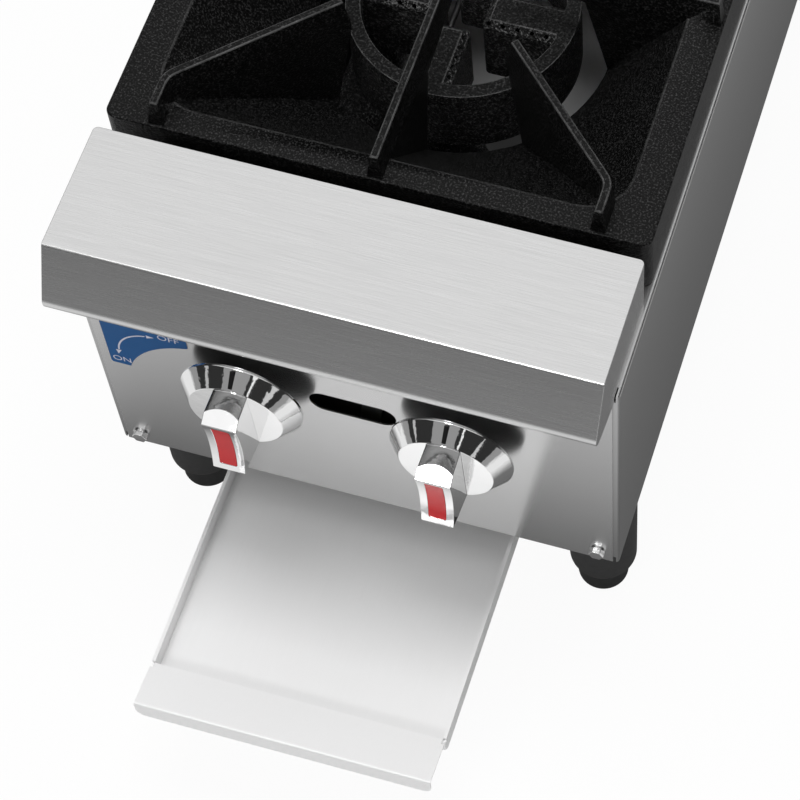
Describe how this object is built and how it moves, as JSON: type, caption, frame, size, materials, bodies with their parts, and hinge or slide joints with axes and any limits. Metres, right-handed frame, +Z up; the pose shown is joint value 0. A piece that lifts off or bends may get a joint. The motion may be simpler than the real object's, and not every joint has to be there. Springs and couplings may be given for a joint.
{
  "type": "countertop gas hotplate",
  "caption": "Long stainless gas hotplate: cast iron bowl grates over burners set one behind the other, chrome bar knobs, a raised front ledge, screw feet and a drip tray drawn out.",
  "frame": {"origin": "middle of the bottom of the box round the whole hotplate at rest, on the plane the feet stand on", "axes": "+Z up; +Y to the rear, along the body's length, so the knobs face -Y; +X to the user's right"},
  "size_m": [0.305, 0.8716, 0.3605],
  "materials": {
    "side_steel": "brushed stainless sheet, grain along the length",
    "front_steel": "brushed stainless sheet, satin",
    "inner_steel": "galvanised sheet, dull",
    "tray_steel": "bright stainless sheet",
    "grate_iron": "black coated casting, fine sand texture",
    "burner_iron": "dark raw casting, rough",
    "knob_chrome": "bright chrome",
    "knob_red": "glossy red inlay",
    "valve_brass": "turned brass",
    "stem_steel": "plain steel",
    "pipe_black": "black gas pipe",
    "pilot_aluminium": "drawn tube, satin",
    "leg_black": "near-black semi-gloss coat",
    "foot_black": "near-black, matt",
    "screw_steel": "zinc plated",
    "bolt_steel": "stainless hexagon head"
  },
  "bodies": {
    "hotplate_body": {"bottom_panel": "inner_steel", "burner_screws": "screw_steel", "front_burner_base": "burner_iron", "front_burner_bracket": "inner_steel", "front_ledge": "front_steel", "front_left_leg": "leg_black", "front_orifice": "valve_brass", "front_panel": "front_steel", "front_pilot_burner": "screw_steel", "front_pilot_tube": "pilot_aluminium", "front_right_leg": "leg_black", "gas_manifold": "pipe_black", "ledge_screws": "screw_steel", "left_side_panel": "side_steel", "left_tray_runner": "inner_steel", "left_valve": "valve_brass", "leg_studs": "screw_steel", "manifold_bracket": "inner_steel", "manifold_cap": "pipe_black", "panel_bolts": "bolt_steel", "panel_nuts": "screw_steel", "panel_washers": "bolt_steel", "pilot_valves": "valve_brass", "rear_burner_base": "burner_iron", "rear_burner_bracket": "inner_steel", "rear_left_leg": "leg_black", "rear_orifice": "valve_brass", "rear_panel": "front_steel", "rear_panel_screws": "screw_steel", "rear_pilot_burner": "screw_steel", "rear_pilot_tube": "pilot_aluminium", "rear_right_leg": "leg_black", "right_side_panel": "side_steel", "right_tray_runner": "inner_steel", "right_valve": "valve_brass", "runner_screws": "screw_steel", "supply_elbow": "pipe_black", "supply_pipe": "pipe_black"},
    "tray": {"drip_tray": "tray_steel"},
    "left_control": {"left_knob": "knob_chrome", "left_knob_inlay": "knob_red", "left_valve_stem": "stem_steel"},
    "right_control": {"right_knob": "knob_chrome", "right_knob_inlay": "knob_red", "right_valve_stem": "stem_steel"},
    "front_grate": {"front_grate": "grate_iron"},
    "front_burner_head": {"front_burner_head": "burner_iron"},
    "front_air_shutter": {"front_air_shutter": "inner_steel"},
    "rear_grate": {"rear_grate": "grate_iron"},
    "rear_burner_head": {"rear_burner_head": "burner_iron"},
    "rear_air_shutter": {"rear_air_shutter": "inner_steel"},
    "front_left_foot": {"front_left_foot": "foot_black"},
    "front_right_foot": {"front_right_foot": "foot_black"},
    "rear_left_foot": {"rear_left_foot": "foot_black"},
    "rear_right_foot": {"rear_right_foot": "foot_black"}
  },
  "joints": [
    {"name": "tray_slide", "type": "slide", "parent": "hotplate_body", "child": "tray", "axis": [0, -1, 0], "range_m": [-0.127, 0.3]},
    {"name": "left_knob_turn", "type": "hinge", "parent": "hotplate_body", "child": "left_control", "pos_m": [-0.0606, -0.29825, 0.2165], "axis": [0, -1, 0], "range_deg": [0, 90]},
    {"name": "right_knob_turn", "type": "hinge", "parent": "hotplate_body", "child": "right_control", "pos_m": [0.0606, -0.29825, 0.2165], "axis": [0, -1, 0], "range_deg": [0, 90]},
    {"name": "front_grate_lift", "type": "slide", "parent": "hotplate_body", "child": "front_grate", "axis": [0, 0, 1], "range_m": [0, 0.12]},
    {"name": "rear_grate_lift", "type": "slide", "parent": "hotplate_body", "child": "rear_grate", "axis": [0, 0, 1], "range_m": [0, 0.12]},
    {"name": "front_head_lift", "type": "slide", "parent": "hotplate_body", "child": "front_burner_head", "axis": [0, 0, 1], "range_m": [0, 0.028]},
    {"name": "rear_head_lift", "type": "slide", "parent": "hotplate_body", "child": "rear_burner_head", "axis": [0, 0, 1], "range_m": [0, 0.028]},
    {"name": "front_shutter_turn", "type": "hinge", "parent": "hotplate_body", "child": "front_air_shutter", "pos_m": [0.0606, -0.19325, 0.2165], "axis": [0, -1, 0], "range_deg": [0, 45]},
    {"name": "rear_shutter_turn", "type": "hinge", "parent": "hotplate_body", "child": "rear_air_shutter", "pos_m": [-0.0606, -0.19325, 0.2165], "axis": [0, -1, 0], "range_deg": [0, 45]},
    {"name": "front_left_foot_screw", "type": "slide", "parent": "hotplate_body", "child": "front_left_foot", "axis": [0, 0, -1], "range_m": [-0.012, 0.018]},
    {"name": "front_right_foot_screw", "type": "slide", "parent": "hotplate_body", "child": "front_right_foot", "axis": [0, 0, -1], "range_m": [-0.012, 0.018]},
    {"name": "rear_left_foot_screw", "type": "slide", "parent": "hotplate_body", "child": "rear_left_foot", "axis": [0, 0, -1], "range_m": [-0.012, 0.018]},
    {"name": "rear_right_foot_screw", "type": "slide", "parent": "hotplate_body", "child": "rear_right_foot", "axis": [0, 0, -1], "range_m": [-0.012, 0.018]}
  ]
}
